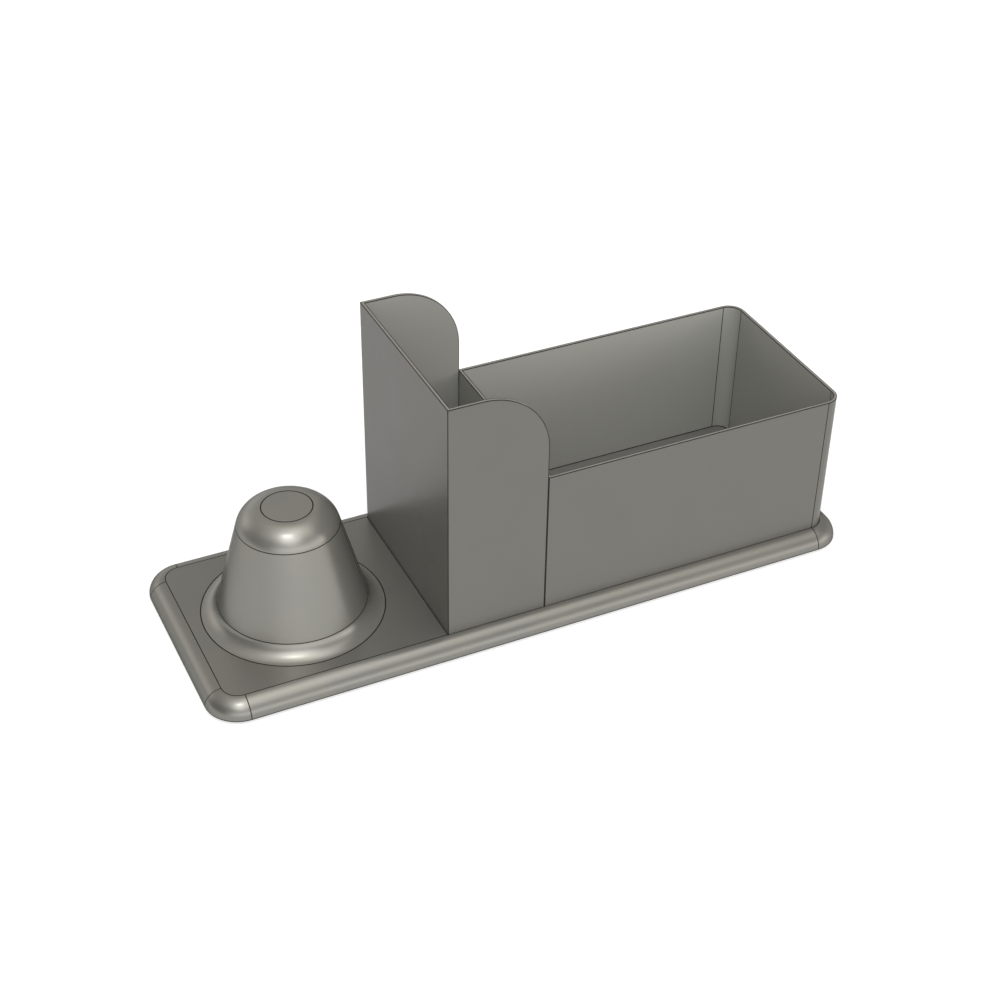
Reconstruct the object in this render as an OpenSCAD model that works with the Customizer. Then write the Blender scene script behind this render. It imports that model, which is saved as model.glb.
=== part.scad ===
// Coffee station organizer: a cast base with a round top edge carries a tall open
// holder, a bin that lifts out, and a hollow dome in the shape of an upturned pod.
// Lengths are in millimetres and angles in degrees. The origin is the middle of the
// footprint, on the surface that the feet stand on. +X runs from the dome to the bin.

/* [Base] */
// Length of the base, along X; the bin takes what the dome and the holder leave of it
base_l = 400; // [330:1:480]
// Depth of the base, along Y
base_w = 140; // [128:1:180]
// Height of the base without its feet
base_h = 10; // [10:0.5:14]
// Radius of the base's round top edge
edge_r = 10; // [7:0.5:10]
// Corner radius of the base's flat top and of the bin's right end
corner_r = 10; // [5:0.5:18]
// Thickness of the plate that closes the base from below
cover_t = 2; // [1.6:0.1:2.4]
// Thickness of the stiffening ribs inside the base
rib_t = 1.6; // [1.2:0.1:2.4]
// Distance of the two long ribs from the base's centre line
rib_y = 20; // [14:1:26]
// Number of cross ribs
rib_count = 4; // [2:1:6]

/* [Walls] */
// Wall and floor thickness of the cast parts
wall_t = 2; // [1.8:0.1:2.8]
// Depth of the seat that the holder and the bin stand in
seat_d = 1.4; // [1:0.1:2]
// Gap round the holder and the bin in their seat, and between the two
seat_gap = 0.3; // [0.2:0.05:0.6]

/* [Holder] */
// Length of the holder, along X
holder_l = 60; // [50:1:70]
// Height of the holder above the base's top
holder_h = 150; // [110:1:200]
// Radius of the round corner on the holder's two side panels
holder_top_r = 40; // [10:1:48]

/* [Bin] */
// Height of the bin above the base's top
bin_h = 90; // [50:1:120]

/* [Pod dome] */
// Distance of the dome's foot from the left end of the base's flat top
pod_margin = 7.4; // [2:0.2:20]
// Distance between the dome's foot and the holder
pod_gap = 17.4; // [4:0.2:40]
// Height of the dome above the base's top
pod_h = 70; // [50:1:90]
// Radius of the dome's foot
pod_foot_r = 52.3; // [48:0.1:53]
// Slope of the dome's side from the vertical
pod_angle = 15; // [10:0.5:20]
// Radius of the dome's round shoulder
pod_top_r = 15; // [8:0.5:18]
// Radius of the hollow curve round the dome's foot
pod_cove_r = 10; // [6:0.5:12]
// Depth of the seat that the dome's foot stands in
pod_seat_d = 0.5; // [0.4:0.1:1]
// Thickness of the round disc let into the dome's top
disc_t = 1; // [0.6:0.1:1.4]
// Gap round the disc and round the dome's foot
disc_gap = 0.15; // [0.1:0.05:0.3]

/* [Feet] */
// Diameter of a rubber foot
foot_d = 16; // [10:1:20]
// How far a foot stands out below the base
foot_proud = 2; // [1:0.5:4]
// Depth of the recess that a foot is glued into
foot_seat_d = 0.8; // [0.4:0.1:1.2]
// Rounding of a foot's lower rim
foot_rim_r = 0.8; // [0.4:0.1:1]

/* [Fasteners] */
// Diameter of the screws
screw_d = 3; // [2.5:0.1:3.5]
// Diameter of the screw heads
head_d = 5.6; // [5:0.1:6.4]
// Height of a countersunk head
head_h = 1.5; // [1.2:0.1:1.6]
// Height of a pan head
pan_h = 2; // [1.6:0.1:2.2]
// Radial clearance of a screw in its hole
screw_clear = 0.05; // [0.03:0.01:0.1]
// Length and width of the cross in a screw head, as shares of the head's diameter
recess_l = 0.55; // [0.45:0.05:0.6]
recess_w = 0.14; // [0.1:0.01:0.16]
// Depth of the cross, as a share of the head's height
recess_depth = 0.6; // [0.4:0.05:0.7]
// Diameter of the bosses that the screws go into
boss_d = 7; // [6:0.5:8]
// Length of a cover screw
cover_screw_l = 5.6; // [5:0.2:6.2]
// Distance of the outer cover screws from the flat top's ends
cover_screw_end = 40; // [32:1:60]
// Distance of the cover screws from the flat top's long edges
cover_screw_inset = 8; // [6:0.5:9]
// Length of a holder screw
holder_screw_l = 8; // [6:0.5:8]
// Distance of the holder screws from the holder's ends
holder_screw_x = 13; // [9:0.5:16]
// Distance of the holder screws from the flat top's long edges
holder_screw_inset = 18; // [15:0.5:24]
// Length of a dome screw
pod_screw_l = 10; // [8:0.5:14]
// Height of the bosses inside the dome
pod_boss_h = 14; // [12:0.5:18]
// Number of screws that hold the dome
pod_screw_count = 3; // [3:1:6]

/* [Hidden] */
$fn = 96;

// A cut runs this far past the face that it opens
over = 1;

// The flat top, and the levels of the base
flat_l = base_l - 2 * edge_r;
flat_w = base_w - 2 * edge_r;
base_z = foot_proud;
top_z = base_z + base_h;
seat_z = top_z - seat_d;
floor_z = seat_z + wall_t;

// From left to right on the flat top: the dome, the holder, and the bin up to its end
pod_x = pod_margin + pod_foot_r - flat_l / 2;
holder_x0 = pod_x + pod_foot_r + pod_gap;
split_x = holder_x0 + holder_l;
holder_x1 = split_x - seat_gap / 2;
bin_x0 = split_x + seat_gap / 2;
bin_x1 = flat_l / 2;

// The cover lies inside the tray's rim, clear of its curved inner face
inner_edge_r = edge_r - wall_t;
cover_rise = max(0, cover_t - (base_h - edge_r));
cover_grow = sqrt(pow(inner_edge_r, 2) - pow(cover_rise, 2)) - seat_gap;

// The dome's outline: its cone's radius at the base's top, where the foot curve meets
// the cone, and the edge of its flat top
pod_r = pod_foot_r - pod_cove_r * (1 - sin(pod_angle)) / cos(pod_angle);
pod_cove_end = [pod_foot_r - pod_cove_r * cos(pod_angle), pod_cove_r * (1 - sin(pod_angle))];
pod_flat_r = pod_r - ((pod_h - pod_top_r) * sin(pod_angle) + pod_top_r) / cos(pod_angle);
pod_boss_r = pod_r - pod_boss_h * tan(pod_angle) - (wall_t + boss_d) / 2;

// Screw places
cover_screw_x = flat_l / 2 - cover_screw_end;
cover_screw_y = flat_w / 2 - cover_screw_inset;
holder_screw_y = flat_w / 2 - holder_screw_inset;
cover_screw_at = [for (x = [-cover_screw_x, 0, cover_screw_x], s = [-1, 1]) [x, s * cover_screw_y]];
holder_screw_at = [
    for (x = [holder_x0 + holder_screw_x, holder_x1 - holder_screw_x], s = [-1, 1])
        [x, s * holder_screw_y]
];
pod_screw_at = [
    for (i = [0:pod_screw_count - 1])
        let (turn = 360 * i / pod_screw_count)
            [pod_x + pod_boss_r * cos(turn), pod_boss_r * sin(turn)]
];

// Colours
grey = [0.48, 0.47, 0.44];
rubber_black = [0.10, 0.10, 0.10];
screw_steel = [0.70, 0.70, 0.72];

// Upright section whose upper right corner is round: flat out to reach, then radius r
module edge_section(reach, r, h) {
    difference() {
        square([reach + r, h]);
        translate([reach, h - r])
            difference() {
                square(r + over);
                circle(r);
            }
    }
}

// The whole section, on both sides of the middle
module slab_section(reach, r, h) {
    edge_section(reach, r, h);
    mirror([1, 0])
        edge_section(reach, r, h);
}

// A slab on z = 0 whose flat top has the base's outline and whose top edge has radius r
module slab(r, h) {
    mid_x = flat_l / 2 - corner_r;
    mid_y = flat_w / 2 - corner_r;
    for (sx = [-1, 1], sy = [-1, 1])
        translate([sx * mid_x, sy * mid_y, 0])
            rotate_extrude()
                edge_section(corner_r, r, h);
    translate([0, mid_y, 0])
        rotate([90, 0, 0])
            linear_extrude(2 * mid_y)
                slab_section(flat_l / 2, r, h);
    translate([-mid_x, 0, 0])
        rotate([90, 0, 90])
            linear_extrude(2 * mid_x)
                slab_section(flat_w / 2, r, h);
}

// The flat top's outline, grown outwards all round
module flat_outline(grow) {
    r = corner_r + grow;
    mid_x = flat_l / 2 - corner_r;
    mid_y = flat_w / 2 - corner_r;
    for (sx = [-1, 1], sy = [-1, 1])
        translate([sx * mid_x, sy * mid_y])
            circle(r);
    square([2 * mid_x, 2 * (mid_y + r)], center = true);
    square([2 * (mid_x + r), 2 * mid_y], center = true);
}

// A rectangle across the base from x0 to x1 with square left and round right corners
module bay_outline(x0, x1, half_w, r) {
    translate([x0, -half_w])
        square([x1 - r - x0, 2 * half_w]);
    translate([x0, r - half_w])
        square([x1 - x0, 2 * (half_w - r)]);
    for (s = [-1, 1])
        translate([x1 - r, s * (half_w - r)])
            circle(r);
}

// Outline of the seat for the holder and the bin, grown outwards by a margin
module seat_outline(grow) {
    bay_outline(holder_x0 - grow, bin_x1 + grow, flat_w / 2 + grow, corner_r + grow);
}

// The space inside the base, which leaves one wall thickness under every seat
module base_hollow() {
    difference() {
        translate([0, 0, -over])
            slab(inner_edge_r, base_h - wall_t + over);
        translate([0, 0, base_h - seat_d - wall_t])
            linear_extrude(base_h)
                seat_outline(seat_gap + wall_t);
        translate([pod_x, 0, base_h - pod_seat_d - wall_t])
            cylinder(r = pod_foot_r + disc_gap + wall_t, h = base_h);
    }
}

// Ribs and screw bosses, from the cover's upper face to the underside of the top
module base_stiffening() {
    rib_h = base_h - seat_d - wall_t / 2 - cover_t;
    pitch = flat_l / (rib_count + 1);
    intersection() {
        slab(edge_r - wall_t / 2, base_h - wall_t / 2);
        translate([0, 0, cover_t])
            linear_extrude(base_h) {
                for (s = [-1, 1])
                    translate([0, s * rib_y])
                        square([base_l, rib_t], center = true);
                for (i = [1:rib_count])
                    translate([i * pitch - flat_l / 2, 0])
                        square([rib_t, base_w], center = true);
                for (at = concat(cover_screw_at, holder_screw_at))
                    translate(at)
                        circle(d = boss_d);
            }
    }
}

// Cast top of the base, with its two seats, ribs and bosses
module base_tray() {
    bore_r = screw_d / 2 + screw_clear;
    color(grey)
        translate([0, 0, base_z])
            difference() {
                union() {
                    difference() {
                        slab(edge_r, base_h);
                        base_hollow();
                    }
                    base_stiffening();
                }
                translate([0, 0, base_h - seat_d])
                    linear_extrude(base_h)
                        seat_outline(seat_gap);
                translate([pod_x, 0, base_h - pod_seat_d])
                    cylinder(r = pod_foot_r + disc_gap, h = base_h);
                for (at = cover_screw_at)
                    translate([at[0], at[1], cover_t - over])
                        cylinder(r = bore_r, h = cover_screw_l - cover_t + over + screw_clear);
                for (at = holder_screw_at)
                    translate([at[0], at[1], cover_t - over])
                        cylinder(r = bore_r, h = base_h);
                for (at = pod_screw_at)
                    translate([at[0], at[1], 0]) {
                        cylinder(r = bore_r, h = base_h + over);
                        cylinder(d = boss_d, h = base_h - pod_seat_d - wall_t);
                    }
            }
}

// Flat plate that closes the base from below, with countersunk holes and foot recesses
module base_cover() {
    bore_r = screw_d / 2 + screw_clear;
    color(grey)
        translate([0, 0, base_z])
            difference() {
                linear_extrude(cover_t)
                    flat_outline(cover_grow);
                for (at = cover_screw_at)
                    translate([at[0], at[1], 0]) {
                        translate([0, 0, -over])
                            cylinder(r = bore_r, h = cover_t + 2 * over);
                        cylinder(r1 = head_d / 2 + screw_clear, r2 = bore_r, h = head_h);
                    }
                for (sx = [-1, 1], sy = [-1, 1])
                    translate([sx * (flat_l / 2 - corner_r), sy * (flat_w / 2 - corner_r), -over])
                        cylinder(d = foot_d + 2 * disc_gap, h = foot_seat_d + over);
            }
}

// Rubber foot under one corner; side_x and side_y are -1 or 1
module foot(side_x, side_y) {
    foot_r = foot_d / 2;
    color(rubber_black)
        translate([side_x * (flat_l / 2 - corner_r), side_y * (flat_w / 2 - corner_r), 0])
            rotate_extrude() {
                square([foot_r - foot_rim_r, foot_proud + foot_seat_d]);
                translate([0, foot_rim_r])
                    square([foot_r, foot_proud + foot_seat_d - foot_rim_r]);
                translate([foot_r - foot_rim_r, foot_rim_r])
                    circle(foot_rim_r);
            }
}

// Cross recess in a screw head, cut down from z = 0
module cross_recess() {
    for (turn = [0, 90])
        rotate(turn)
            cube([head_d * recess_l, head_d * recess_w, 2 * head_h * recess_depth], center = true);
}

// Countersunk screw that points down from a head flush with z = 0
module flat_screw(l) {
    difference() {
        union() {
            translate([0, 0, -head_h])
                cylinder(r1 = screw_d / 2, r2 = head_d / 2, h = head_h);
            translate([0, 0, -l])
                cylinder(d = screw_d, h = l);
        }
        cross_recess();
    }
}

// Pan-head screw that points up, with its head's seat on z = 0
module pan_screw(l) {
    crown = pan_h / 2;
    difference() {
        union() {
            cylinder(d = screw_d, h = l);
            rotate_extrude()
                intersection() {
                    union() {
                        translate([0, crown - pan_h])
                            square([head_d / 2, pan_h - crown]);
                        translate([head_d / 2 - crown, crown - pan_h])
                            circle(crown);
                        translate([0, -pan_h])
                            square([head_d / 2 - crown, pan_h]);
                    }
                    translate([0, -pan_h])
                        square([head_d / 2, pan_h]);
                }
        }
        translate([0, 0, -pan_h])
            cross_recess();
    }
}

// Six screws that hold the cover to the tray
module cover_screws() {
    color(screw_steel)
        for (at = cover_screw_at)
            translate([at[0], at[1], base_z])
                rotate([180, 0, 0])
                    flat_screw(cover_screw_l);
}

// Tall holder with a floor and three walls, open at the top and towards the bin
module holder() {
    l = holder_x1 - holder_x0;
    color(grey)
        translate([holder_x0, 0, seat_z])
            difference() {
                translate([0, flat_w / 2, 0])
                    rotate([90, 0, 0])
                        linear_extrude(flat_w)
                            edge_section(l - holder_top_r, holder_top_r, holder_h + seat_d);
                translate([wall_t, wall_t - flat_w / 2, wall_t])
                    cube([l, flat_w - 2 * wall_t, holder_h + seat_d]);
                for (at = holder_screw_at)
                    translate([at[0] - holder_x0, at[1], 0]) {
                        translate([0, 0, -over])
                            cylinder(d = screw_d + 2 * screw_clear, h = wall_t + 2 * over);
                        translate([0, 0, wall_t - head_h])
                            cylinder(
                                r1 = screw_d / 2 + screw_clear,
                                r2 = head_d / 2 + screw_clear,
                                h = head_h
                            );
                    }
            }
}

// Four screws that hold the holder's floor to the base
module holder_screws() {
    color(screw_steel)
        for (at = holder_screw_at)
            translate([at[0], at[1], floor_z])
                flat_screw(holder_screw_l);
}

// Open bin with square left and round right corners, which lifts out of its seat
module bin() {
    color(grey)
        translate([0, 0, seat_z])
            difference() {
                linear_extrude(bin_h + seat_d)
                    bay_outline(bin_x0, bin_x1, flat_w / 2, corner_r);
                translate([0, 0, wall_t])
                    linear_extrude(bin_h + seat_d)
                        bay_outline(
                            bin_x0 + wall_t,
                            bin_x1 - wall_t,
                            flat_w / 2 - wall_t,
                            corner_r - wall_t
                        );
            }
}

// Section of the dome to the right of its axis, with its foot on y = -foot
module dome_section(cone_r, top, r, foot) {
    shoulder = top - r;
    shoulder_end = [pod_flat_r + r * cos(pod_angle), shoulder + r * sin(pod_angle)];
    intersection() {
        translate([0, -foot])
            square([base_w, top + foot]);
        union() {
            polygon([
                [0, -foot],
                [cone_r + foot * tan(pod_angle), -foot],
                shoulder_end,
                [pod_flat_r, top],
                [0, top]
            ]);
            translate([pod_flat_r, shoulder])
                circle(r);
        }
    }
}

// Ring round the dome's foot with its hollow outer curve
module dome_foot_section() {
    difference() {
        polygon([
            [pod_cove_end[0] - wall_t, -pod_seat_d],
            [pod_foot_r, -pod_seat_d],
            [pod_foot_r, 0],
            pod_cove_end,
            [pod_cove_end[0] - wall_t, pod_cove_end[1]]
        ]);
        translate([pod_foot_r, pod_cove_r])
            circle(pod_cove_r);
    }
}

// Hollow dome, with bosses inside for its screws and a recess on top for the disc
module pod_shell() {
    inner_r = pod_r - wall_t / cos(pod_angle);
    color(grey)
        translate([pod_x, 0, top_z])
            difference() {
                union() {
                    difference() {
                        rotate_extrude() {
                            dome_section(pod_r, pod_h, pod_top_r, pod_seat_d);
                            dome_foot_section();
                        }
                        rotate_extrude()
                            dome_section(inner_r, pod_h - wall_t, pod_top_r - wall_t, pod_seat_d + over);
                    }
                    for (at = pod_screw_at)
                        translate([at[0] - pod_x, at[1], -pod_seat_d])
                            cylinder(d = boss_d, h = pod_boss_h + pod_seat_d);
                }
                for (at = pod_screw_at)
                    translate([at[0] - pod_x, at[1], -pod_seat_d - over])
                        cylinder(
                            d = screw_d + 2 * screw_clear,
                            h = pod_screw_l + over - wall_t + screw_clear
                        );
                translate([0, 0, pod_h - disc_t])
                    cylinder(r = pod_flat_r, h = disc_t + over);
            }
}

// Plain round disc let flush into the dome's top
module pod_disc() {
    color(grey)
        translate([pod_x, 0, top_z + pod_h - disc_t])
            cylinder(r = pod_flat_r - disc_gap, h = disc_t);
}

// Screws that hold the dome from inside the base
module pod_screws() {
    color(screw_steel)
        for (at = pod_screw_at)
            translate([at[0], at[1], top_z - pod_seat_d - wall_t])
                pan_screw(pod_screw_l);
}

base_tray();
base_cover();
foot(-1, -1);  // foot_front_left
foot(1, -1);  // foot_front_right
foot(-1, 1);  // foot_back_left
foot(1, 1);  // foot_back_right
cover_screws();
holder();
holder_screws();
bin();
pod_shell();
pod_disc();
pod_screws();
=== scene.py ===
"""Looks of the coffee station organizer: satin metal with fine dark edge lines, on a pale floor."""

import math

import bpy
from mathutils import Matrix, Vector


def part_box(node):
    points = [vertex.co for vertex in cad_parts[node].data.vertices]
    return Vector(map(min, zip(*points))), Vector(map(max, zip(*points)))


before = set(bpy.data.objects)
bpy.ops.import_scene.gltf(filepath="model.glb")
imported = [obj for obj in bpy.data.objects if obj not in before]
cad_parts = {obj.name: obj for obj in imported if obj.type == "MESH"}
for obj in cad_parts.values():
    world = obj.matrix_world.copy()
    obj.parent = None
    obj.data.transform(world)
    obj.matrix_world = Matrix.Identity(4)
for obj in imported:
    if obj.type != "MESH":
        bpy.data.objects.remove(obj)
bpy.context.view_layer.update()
scene = bpy.context.scene
scene.view_settings.view_transform = "Standard"

MM = 0.001

# Colours, linear
METAL = (0.192, 0.192, 0.178)
METAL_WARM = (0.200, 0.196, 0.177)   # the metal's warmer clouds
METAL_GRAIN = (0.12, 0.115, 0.10)    # its blasted grains
LINE = (0.018, 0.017, 0.015)
# Painted highlight along the rims, in place of the sky they reflect
RIM_HIGHLIGHT = (0.30, 0.29, 0.265)
RUBBER = ((0.012, 0.012, 0.012), (0.022, 0.021, 0.020))
STEEL = ((0.42, 0.42, 0.43), (0.30, 0.30, 0.31))
WHITE = (1.0, 1.0, 1.0)
GRAZING = (0.10, 0.10, 0.10, 1.0)    # what a blasted face reflects at a low angle

# How mirror-like the metal is, piece by piece, and how light or dark each piece is painted: the
# tones are painted light and shade, lighter and darker copies of one finish
BASE_TONE, WALL_TONE, POD_TONE = 1.10, 0.83, 1.25
# Painted light: the walls' insides are painted lighter, in place of light that their shade keeps
# out
HOLDER_INSIDE_LIGHTENED, BIN_INSIDE_LIGHTENED = 1.52, 1.80
# Painted shade: a band at the height of the inner floor, mostly that floor, is painted darker
INNER_FLOOR_SHADE = 0.78
BASE_METALLIC, WALL_METALLIC, POD_METALLIC = 0.65, 0.22, 0.60
INSIDE_METALLIC = 0.10

# The metal's clouds and grains: their size in mm, and the noise levels between which they fade in
CLOUD_SIZE, CLOUD_FADE = 38, (0.35, 0.65)
GRAIN_SIZE, GRAIN_FADE = 0.55, (0.30, 0.75)
GRAIN_ROUGHNESS = 0.7    # how much of its finer noise shows
GRAIN_SHARE = 0.10       # how much of its colour shows
GRAIN_HEIGHT = 0.006     # in mm
NOISE_SPREAD = (0.3, 0.7)    # most of the noise lies between these
METAL_ROUGH, RUBBER_ROUGH, STEEL_ROUGH = (0.285, 0.32), (0.62, 0.8), (0.24, 0.38)
RUBBER_GRAIN, STEEL_GRAIN = (0.4, 2.0), (0.25, 3.0)   # size in mm, and detail
RUBBER_HEIGHT = 0.03     # of its grain, in mm

# Lines, and rims with a painted highlight
LINE_W = 0.56       # width of a dark line across a face, in mm
EDGE_W = 0.42       # width of the dark line along a sharp edge, on each of its two faces
LINE_SOFT = 0.12    # how far a line's edge fades, in mm
LINE_SHARE, LINE_ROUGHER, LINE_DEPTH = 0.96, 0.25, 1.5   # depth in heights of the grain
# how much of the rims' painted highlight shows, and how much smoother the rims are
RIM_SHARE, RIM_SMOOTHER = 0.45, 0.005
NEAR = 0.1          # what counts as lying on a plane, in mm


class Field:
    """A number that varies over a surface: a shader socket that takes part in arithmetic."""

    def __init__(self, tree, socket):
        self.tree, self.socket = tree, socket

    def __add__(self, other):
        return calc(self.tree, "ADD", self, other)

    def __sub__(self, other):
        return calc(self.tree, "SUBTRACT", self, other)

    def __rsub__(self, other):
        return calc(self.tree, "SUBTRACT", other, self)

    def __mul__(self, other):
        return calc(self.tree, "MULTIPLY", self, other)

    def __abs__(self):
        return calc(self.tree, "ABSOLUTE", self)


def give(tree, socket, value):
    """Links a field or a socket to a socket, or sets the socket's own value."""
    if isinstance(value, Field):
        tree.links.new(value.socket, socket)
    elif isinstance(value, bpy.types.NodeSocket):
        tree.links.new(value, socket)
    else:
        socket.default_value = value


def calc(tree, operation, *values):
    node = tree.nodes.new("ShaderNodeMath")
    node.operation = operation
    for socket, value in zip(node.inputs, values):
        give(tree, socket, value)
    return Field(tree, node.outputs[0])


def chain(operation, first, *rest):
    for value in rest:
        first = calc(first.tree, operation, first, value)
    return first


def smallest(*fields):
    return chain("MINIMUM", *fields)


def largest(*fields):
    return chain("MAXIMUM", *fields)


def length(a, b):
    return calc(a.tree, "SQRT", a * a + b * b)


def past(a, b):
    """Distance from a corner, for a point that is a and b past its two sides."""
    return length(largest(a, 0.0), largest(b, 0.0))


def ramp(field, start, end, low=0.0, high=1.0):
    """low before start, high after end, and smooth between them."""
    node = field.tree.nodes.new("ShaderNodeMapRange")
    node.interpolation_type = "SMOOTHSTEP"
    give(field.tree, node.inputs["Value"], field)
    limits = {"From Min": start, "From Max": end, "To Min": low, "To Max": high}
    for name, value in limits.items():
        node.inputs[name].default_value = value
    return Field(field.tree, node.outputs["Result"])


def below(field, limit):
    """1 below limit and 0 above it."""
    return ramp(field, limit - LINE_SOFT / 2, limit + LINE_SOFT / 2, 1.0, 0.0)


def above(field, limit):
    """1 above limit and 0 below it."""
    return ramp(field, limit - LINE_SOFT / 2, limit + LINE_SOFT / 2)


def at(field, place, width=LINE_W):
    """1 within half a width of a place."""
    return below(abs(field - place), width / 2)


def noise(tree, vector, size, detail=2.0, roughness=0.55):
    """Noise whose blobs are about size mm across."""
    node = tree.nodes.new("ShaderNodeTexNoise")
    give(tree, node.inputs["Vector"], vector)
    node.inputs["Scale"].default_value = 1.0 / size
    node.inputs["Detail"].default_value = detail
    node.inputs["Roughness"].default_value = roughness
    return Field(tree, node.outputs[0])


def mixed(tree, share, first, second):
    """The first colour where share is 0, and the second where it is 1."""
    node = tree.nodes.new("ShaderNodeMix")
    node.data_type = "RGBA"
    give(tree, node.inputs[0], share)
    for socket, value in ((node.inputs[6], first), (node.inputs[7], second)):
        give(tree, socket, (*value, 1.0) if isinstance(value, tuple) else value)
    return node.outputs[2]


def toned(colour, tone):
    return tuple(v * tone for v in colour)


def new_material(name):
    """A material, with its place on the piece in mm as a vector and as three fields."""
    material = bpy.data.materials.new(name)
    material.use_nodes = True
    tree = material.node_tree
    place = tree.nodes.new("ShaderNodeTexCoord")
    scaled = tree.nodes.new("ShaderNodeVectorMath")
    scaled.operation = "SCALE"
    tree.links.new(place.outputs["Object"], scaled.inputs[0])
    scaled.inputs["Scale"].default_value = 1 / MM
    split = tree.nodes.new("ShaderNodeSeparateXYZ")
    tree.links.new(scaled.outputs[0], split.inputs[0])
    xyz = [Field(tree, socket) for socket in split.outputs]
    return material, tree, tree.nodes["Principled BSDF"], scaled.outputs[0], xyz


def finish_shader(tree, shader, colour, rough, height, height_mm):
    """Gives the shader its colour, roughness and bump."""
    tree.links.new(colour, shader.inputs["Base Color"])
    give(tree, shader.inputs["Roughness"], rough)
    node = tree.nodes.new("ShaderNodeBump")
    give(tree, node.inputs["Height"], height)
    node.inputs["Distance"].default_value = height_mm * MM
    node.inputs["Strength"].default_value = 1.0
    tree.links.new(node.outputs[0], shader.inputs["Normal"])


def satin_metal(name, tone, metallic, lines=None, rims=None, inside=None, inside_lightened=1.0):
    """Finely blasted warm grey metal.

    lines say where it is drawn dark, rims where a highlight is painted on, and inside where it is
    painted lighter, standing in for light that its inside lacks, and less metallic; there its floor
    is painted darker as shade.
    """
    material, tree, shader, vector, (x, y, z) = new_material(name)
    cloud = noise(tree, vector, CLOUD_SIZE)
    grain = noise(tree, vector, GRAIN_SIZE, roughness=GRAIN_ROUGHNESS)
    clouded = ramp(cloud, *CLOUD_FADE)
    colour = mixed(tree, clouded, toned(METAL, tone), toned(METAL_WARM, tone))
    colour = mixed(tree, ramp(grain, *GRAIN_FADE, 0.0, GRAIN_SHARE), colour, METAL_GRAIN)
    rough = ramp(cloud, *NOISE_SPREAD, *METAL_ROUGH)
    height = grain
    shader.inputs["Metallic"].default_value = metallic
    shader.inputs["Specular Tint"].default_value = GRAZING
    # Painted light: the inside is painted lighter, and is less metallic
    if inside:
        matt_and_lightened = inside(x, y, z)
        colour = mixed(tree, matt_and_lightened, colour, toned(METAL, inside_lightened))
        # painted shade on the floor inside: darker
        on_floor = smallest(above(z, FLOOR_Z - 2 * NEAR), below(z, FLOOR_Z + NEAR))
        colour = mixed(tree, on_floor, colour, toned(METAL, INNER_FLOOR_SHADE))
        less_metallic = metallic - matt_and_lightened * (metallic - INSIDE_METALLIC)
        give(tree, shader.inputs["Metallic"], less_metallic)
    # painted highlight along the rims
    if rims:
        rim_highlight = rims(x, y, z)
        colour = mixed(tree, rim_highlight * RIM_SHARE, colour, RIM_HIGHLIGHT)
        rough = rough - rim_highlight * RIM_SMOOTHER
    if lines:
        drawn = lines(x, y, z)
        colour = mixed(tree, drawn * LINE_SHARE, colour, LINE)
        rough = rough + drawn * LINE_ROUGHER
        height = grain - drawn * LINE_DEPTH
    finish_shader(tree, shader, colour, rough, height, GRAIN_HEIGHT)
    return material


def grained(name, colours, grain, rough, height_mm):
    """Rubber or steel: grain of a size and detail between two colours."""
    material, tree, shader, vector, _ = new_material(name)
    level = noise(tree, vector, *grain)
    colour = mixed(tree, level, *colours)
    finish_shader(tree, shader, colour, ramp(level, *NOISE_SPREAD, *rough), level, height_mm)
    return material, shader


def mm_box(node):
    """The lowest and the highest corner of a CAD node, in mm."""
    low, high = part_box(node)
    return [v / MM for v in low], [v / MM for v in high]


# Places, in mm
TRAY_LOW, TRAY_HIGH = mm_box("base_tray")
HOLDER_LOW, HOLDER_HIGH = mm_box("holder")
BIN_LOW, BIN_HIGH = mm_box("bin")
POD_LOW, POD_HIGH = mm_box("pod_shell")
DISC_LOW, DISC_HIGH = mm_box("pod_disc")

EDGE_R = 10.0           # the base's quarter-round edge
CORNER_R = 10.0         # the corners of the base's flat top, and the bin's two round corners
WALL_T = 2.0
HOLDER_TOP_R = 40.0
SEAT_GAP = 0.3          # round the holder and the bin
SEAT_SHADE_DEPTH = 2.0   # how far down into the gap round their seat the line goes, as painted shade
DISC_GAP = 0.15         # round the disc, and round the dome's foot
POD_ANGLE = math.radians(15)
POD_TOP_R = 15.0        # the dome's round shoulder
POD_COVE_R = 10.0       # the hollow curve round its foot
CORNER_LINE_INSET = 1.0     # keeps a line across a round corner off the flat sides

FLOOR_Z = BIN_LOW[2] + WALL_T
TOP_Z = TRAY_HIGH[2]
POD_X = (POD_LOW[0] + POD_HIGH[0]) / 2
POD_R = (POD_HIGH[0] - POD_LOW[0]) / 2
DISC_R = (DISC_HIGH[0] - DISC_LOW[0]) / 2
COVE_Z = TOP_Z + POD_COVE_R * (1 - math.sin(POD_ANGLE))
SHOULDER_Z = POD_HIGH[2] - POD_TOP_R * (1 - math.sin(POD_ANGLE))


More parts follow.
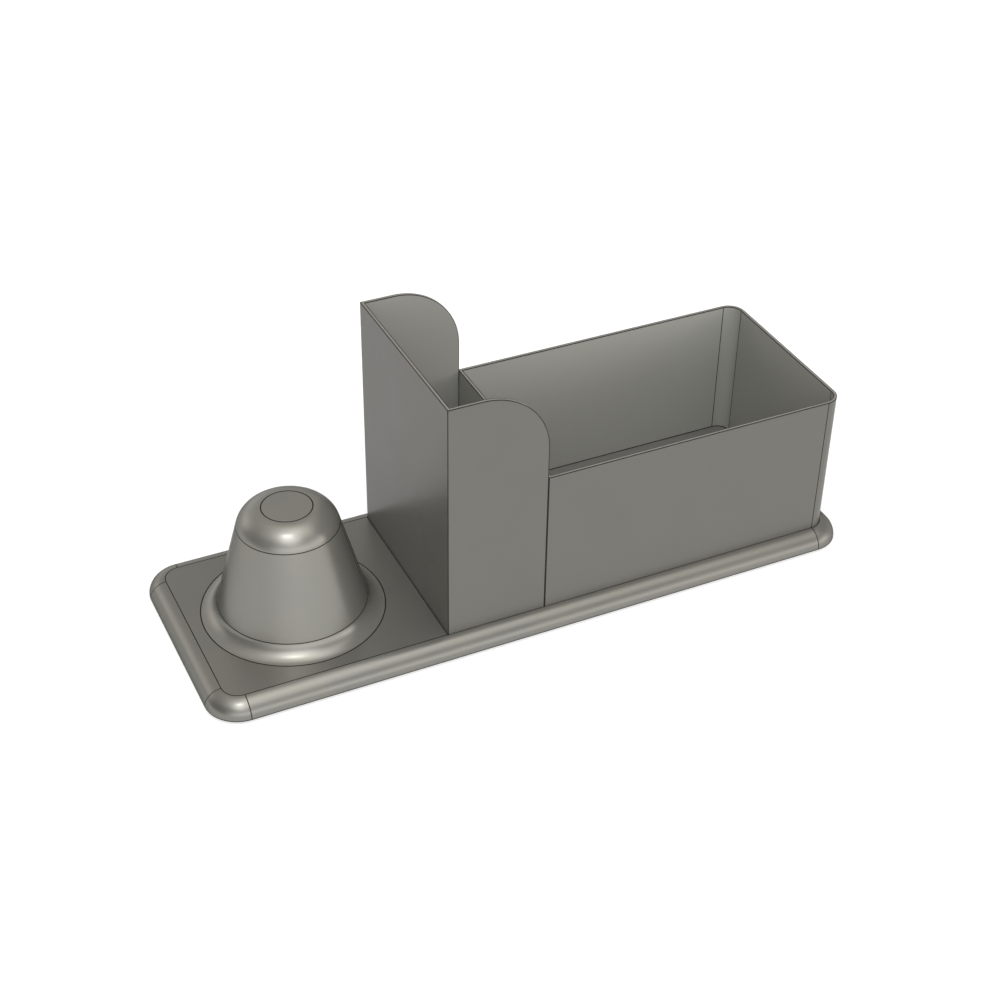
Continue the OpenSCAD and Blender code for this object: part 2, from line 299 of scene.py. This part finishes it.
def tray_lines(x, y, z):
    """Round the flat top, across the ends of its corners, along the foot and round both seats,
    where the line runs down into the gap as painted shade.
    """
    ax, ay = abs(x), abs(y)
    corner_x = TRAY_HIGH[0] - EDGE_R - CORNER_R
    corner_y = TRAY_HIGH[1] - EDGE_R - CORNER_R
    out = past(ax - corner_x, ay - corner_y) - CORNER_R
    arc_ends = smallest(largest(at(ax, corner_x), at(ay, corner_y)), above(out, 0),
                        above(ax, corner_x - LINE_W), above(ay, corner_y - LINE_W))
    foot = smallest(below(z, TRAY_LOW[2] + LINE_W), above(out, EDGE_R - LINE_W))
    right, side = x - (BIN_HIGH[0] - CORNER_R), ay - (BIN_HIGH[1] - CORNER_R)
    seat = largest(HOLDER_LOW[0] - x, past(right, side) - CORNER_R)
    # the line round the seats, with painted shade down the gap below it
    seat_line_and_shade = smallest(at(seat, SEAT_GAP / 2, LINE_W + SEAT_GAP),
                         above(z, TOP_Z - SEAT_SHADE_DEPTH))
    ring = at(length(x - POD_X, y), POD_R + DISC_GAP / 2, LINE_W + DISC_GAP)
    return largest(at(out, 0), arc_ends, foot, seat_line_and_shade, ring)


def pod_lines(x, y, z):
    """Round the dome's foot, cove, shoulder and disc."""
    out = length(x - POD_X, y)
    round_disc = smallest(below(out, DISC_R + DISC_GAP + LINE_W / 2), above(z, SHOULDER_Z))
    return largest(above(out, POD_R - LINE_W / 2), at(z, COVE_Z), at(z, SHOULDER_Z), round_disc)


def disc_lines(x, y, z):
    return above(length(x - POD_X, y), DISC_R - LINE_W / 2)


def wall_lines(depth, top_gap, z):
    """depth is how far a point is inside the outer faces, and top_gap how far below the rim."""
    outer, inner = below(depth, EDGE_W), at(depth, WALL_T, 2 * EDGE_W)
    rim = smallest(largest(outer, inner), below(top_gap, EDGE_W))
    inner_foot = smallest(at(z, FLOOR_Z, 2 * EDGE_W), inner)
    outer_foot = smallest(outer, below(z, BIN_LOW[2] + EDGE_W))
    return largest(rim, inner_foot, outer_foot)


def corner_lines(x, y, left, back):
    """Along the square corners at the left, on the walls' outer and inner faces."""
    return [smallest(at(x, left + t, 2 * EDGE_W), at(abs(y), back - t, 2 * EDGE_W))
            for t in (0, WALL_T)]


def inside_of(depth, top_gap, z):
    """1 on the walls inside, above the floor."""
    return smallest(above(depth, WALL_T - EDGE_W), above(top_gap, EDGE_W),
                    above(z, FLOOR_Z + EDGE_W / 2))


def holder_depth(x, y):
    return smallest(x - HOLDER_LOW[0], HOLDER_HIGH[1] - abs(y))


def holder_top_gap(x, z):
    side, top = HOLDER_HIGH[0] - x, HOLDER_HIGH[2] - z
    rounded = HOLDER_TOP_R - past(HOLDER_TOP_R - side, HOLDER_TOP_R - top)
    return smallest(side, top, rounded)


def holder_lines(x, y, z):
    return largest(wall_lines(holder_depth(x, y), holder_top_gap(x, z), z),
                   *corner_lines(x, y, HOLDER_LOW[0], HOLDER_HIGH[1]))


def holder_inside(x, y, z):
    return inside_of(holder_depth(x, y), HOLDER_HIGH[2] - z, z)


# Where the rims' painted highlight lies
def holder_rims(x, y, z):
    return smallest(below(holder_top_gap(x, z), LINE_W / 4), below(holder_depth(x, y), WALL_T))


def bin_depth(x, y):
    right, side = BIN_HIGH[0] - x, BIN_HIGH[1] - abs(y)
    rounded = CORNER_R - past(CORNER_R - right, CORNER_R - side)
    return smallest(x - BIN_LOW[0], right, side, rounded)


def bin_lines(x, y, z):
    """The walls' lines, and those along both sides of each round corner."""
    depth, ay = bin_depth(x, y), abs(y)
    corner_x, corner_y = BIN_HIGH[0] - CORNER_R, BIN_HIGH[1] - CORNER_R
    arc_ends = largest(smallest(at(x, corner_x), above(ay, corner_y + CORNER_LINE_INSET)),
                       smallest(at(ay, corner_y), above(x, corner_x + CORNER_LINE_INSET)))
    arc_ends = smallest(arc_ends, below(depth, WALL_T + NEAR), below(z, BIN_HIGH[2] - LINE_W / 2))
    return largest(wall_lines(depth, BIN_HIGH[2] - z, z), arc_ends,
                   *corner_lines(x, y, BIN_LOW[0], BIN_HIGH[1]))


def bin_inside(x, y, z):
    """The bin's inside, and its left wall, which closes the holder's open side: where it is painted
    lighter, standing in for light, and less metallic.
    """
    return largest(inside_of(bin_depth(x, y), BIN_HIGH[2] - z, z), below(x, BIN_LOW[0] + NEAR))


# Where the rims' painted highlight lies
def bin_rims(x, y, z):
    return smallest(above(z, BIN_HIGH[2] - LINE_W / 4), below(bin_depth(x, y), WALL_T))


LOOKS = {
    "base_tray": satin_metal("tray_metal", BASE_TONE, BASE_METALLIC, tray_lines),
    "base_cover": satin_metal("cover_metal", BASE_TONE, BASE_METALLIC),
    "holder": satin_metal("holder_metal", WALL_TONE, WALL_METALLIC,
                          holder_lines, holder_rims, holder_inside, HOLDER_INSIDE_LIGHTENED),
    "bin": satin_metal("bin_metal", WALL_TONE, WALL_METALLIC,
                       bin_lines, bin_rims, bin_inside, BIN_INSIDE_LIGHTENED),
    "pod_shell": satin_metal("pod_metal", POD_TONE, POD_METALLIC, pod_lines),
    "pod_disc": satin_metal("disc_metal", POD_TONE, POD_METALLIC, disc_lines),
}
rubber_look, _ = grained("matt_rubber", RUBBER, RUBBER_GRAIN, RUBBER_ROUGH, RUBBER_HEIGHT)
steel_look, steel_shader = grained("plain_steel", STEEL, STEEL_GRAIN, STEEL_ROUGH, GRAIN_HEIGHT)
steel_shader.inputs["Metallic"].default_value = 1.0
for name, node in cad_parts.items():
    look = LOOKS.get(name) or (rubber_look if name.startswith("foot") else steel_look)
    node.data.materials.clear()
    node.data.materials.append(look)


def direction(azimuth, elevation):
    """Unit vector from the part; azimuth 0 is in front of it and 90 to its right, in degrees."""
    a, e = math.radians(azimuth), math.radians(elevation)
    return Vector((math.sin(a) * math.cos(e), -math.cos(a) * math.cos(e), math.sin(e)))


# The photograph's camera, found from the lines in it
CAMERA_AZIMUTH, CAMERA_ELEVATION, CAMERA_ROLL = -25.963, 36.438, 1.023
CAMERA_PLACE = (-0.37749, -0.77382, 0.68237)
SENSOR_WIDTH, LENS = 36.0, 66.060   # in mm
CLIP_START = 0.01

turn, roll = math.radians(CAMERA_AZIMUTH), math.radians(CAMERA_ROLL)
back = direction(CAMERA_AZIMUTH, CAMERA_ELEVATION)
level_x = Vector((math.cos(turn), math.sin(turn), 0))
level_y = back.cross(level_x)
cam_x = level_x * math.cos(roll) + level_y * math.sin(roll)
cam_y = level_y * math.cos(roll) - level_x * math.sin(roll)
camera = bpy.data.objects.new("camera", bpy.data.cameras.new("camera"))
scene.collection.objects.link(camera)
turned = Matrix((cam_x, cam_y, back)).transposed().to_4x4()
camera.matrix_world = Matrix.Translation(CAMERA_PLACE) @ turned
camera.data.sensor_width = SENSOR_WIDTH
camera.data.lens = LENS
camera.data.clip_start = CLIP_START
scene.camera = camera

# A pale floor, which the camera, metal and glass see as white, with the part's shadow on it
FLOOR_SIZE = 30.0
FLOOR_COLOUR = (0.42, 0.42, 0.42, 1.0)
FLOOR_GLOW = 0.62
SEEN_BY = ("Is Camera Ray", "Is Glossy Ray", "Is Transmission Ray")

half = FLOOR_SIZE / 2
corners = [(-half, -half, 0), (half, -half, 0), (half, half, 0), (-half, half, 0)]
mesh = bpy.data.meshes.new("floor")
mesh.from_pydata(corners, [], [(0, 1, 2, 3)])
floor = bpy.data.objects.new("floor", mesh)
scene.collection.objects.link(floor)
paint = bpy.data.materials.new("floor_paint")
paint.use_nodes = True
tree = paint.node_tree
shader = tree.nodes["Principled BSDF"]
shader.inputs["Base Color"].default_value = FLOOR_COLOUR
shader.inputs["Roughness"].default_value = 1.0
shader.inputs["Specular IOR Level"].default_value = 0.0
shader.inputs["Emission Color"].default_value = (*WHITE, 1.0)
path = tree.nodes.new("ShaderNodeLightPath")
seen = largest(*(Field(tree, path.outputs[ray]) for ray in SEEN_BY))
give(tree, shader.inputs["Emission Strength"], seen * FLOOR_GLOW)
mesh.materials.append(paint)

# Soft patches of sky: azimuth, elevation, sharpness, level and tint
NEUTRAL, WARM = (1.0, 1.0, 1.0), (1.05, 1.0, 0.95)
SKY = [
    (-38, 6, 20.0, 1.70, NEUTRAL),
    (-14, 6, 20.0, 2.20, NEUTRAL),
    (10, 6, 20.0, 2.10, NEUTRAL),
    (34, 6, 20.0, 1.30, WARM),
    (58, 6, 20.0, 2.60, WARM),
    (80, 30, 24.0, 0.20, WARM),
    (-90, 56, 24.0, 0.60, NEUTRAL),
    (-50, 56, 24.0, 0.50, NEUTRAL),
    (-20, 56, 24.0, 4.00, NEUTRAL),
    (45, 56, 24.0, 1.25, WARM),
    (-26, 78, 24.0, 1.50, NEUTRAL),
    (64, 78, 24.0, 1.80, WARM),
    (154, 78, 24.0, 1.40, WARM),
    (-116, 78, 24.0, 0.15, NEUTRAL),
    (-170, 8, 7.0, 0.55, NEUTRAL),
    (178, 6, 24.0, 1.30, NEUTRAL),
    (104, 6, 24.0, 0.70, NEUTRAL),
    (-144, 18, 24.0, 1.50, WARM),
    (138, 8, 7.0, 0.30, WARM),
    (-150, 36, 14.0, 0.12, WARM),
    (130, 30, 14.0, 0.20, WARM),
    (165, 24, 14.0, 0.20, WARM),
    (140, 56, 24.0, 0.30, WARM),
    (-160, 56, 24.0, 0.20, WARM),
]

world = bpy.data.worlds.new("studio")
scene.world = world
world.use_nodes = True
tree = world.node_tree
coords = tree.nodes.new("ShaderNodeTexCoord")
levels = [0.0, 0.0, 0.0]
for azimuth, elevation, sharpness, level, tint in SKY:
    dot = tree.nodes.new("ShaderNodeVectorMath")
    dot.operation = "DOT_PRODUCT"
    tree.links.new(coords.outputs["Generated"], dot.inputs[0])
    dot.inputs[1].default_value = direction(azimuth, elevation)
    near = calc(tree, "EXPONENT", (Field(tree, dot.outputs["Value"]) - 1.0) * sharpness)
    levels = [near * (level * share) + before for share, before in zip(tint, levels)]
joined = tree.nodes.new("ShaderNodeCombineXYZ")
for socket, value in zip(joined.inputs, levels):
    give(tree, socket, value)
camera_ray = tree.nodes.new("ShaderNodeLightPath").outputs["Is Camera Ray"]
sky_colour = mixed(tree, camera_ray, joined.outputs[0], WHITE)
tree.links.new(sky_colour, tree.nodes["Background"].inputs["Color"])

# Round lamps: name, azimuth, elevation, diameter, power and tint
LAMPS = [
    ("broad", -18, 46, 1.00, 3.5, (0.99, 1.0, 1.01)),
    ("high", -37, 68, 0.22, 3.4, (1.0, 1.0, 0.98)),
]
LAMP_DISTANCE = 1.6
for name, azimuth, elevation, diameter, power, tint in LAMPS:
    lamp = bpy.data.lights.new(name, "AREA")
    lamp.shape = "DISK"
    lamp.size = diameter
    lamp.energy = power
    lamp.color = tint
    stand = bpy.data.objects.new(name, lamp)
    scene.collection.objects.link(stand)
    towards = direction(azimuth, elevation)
    stand.location = towards * LAMP_DISTANCE
    stand.rotation_mode = "QUATERNION"
    stand.rotation_quaternion = towards.to_track_quat("Z", "Y")
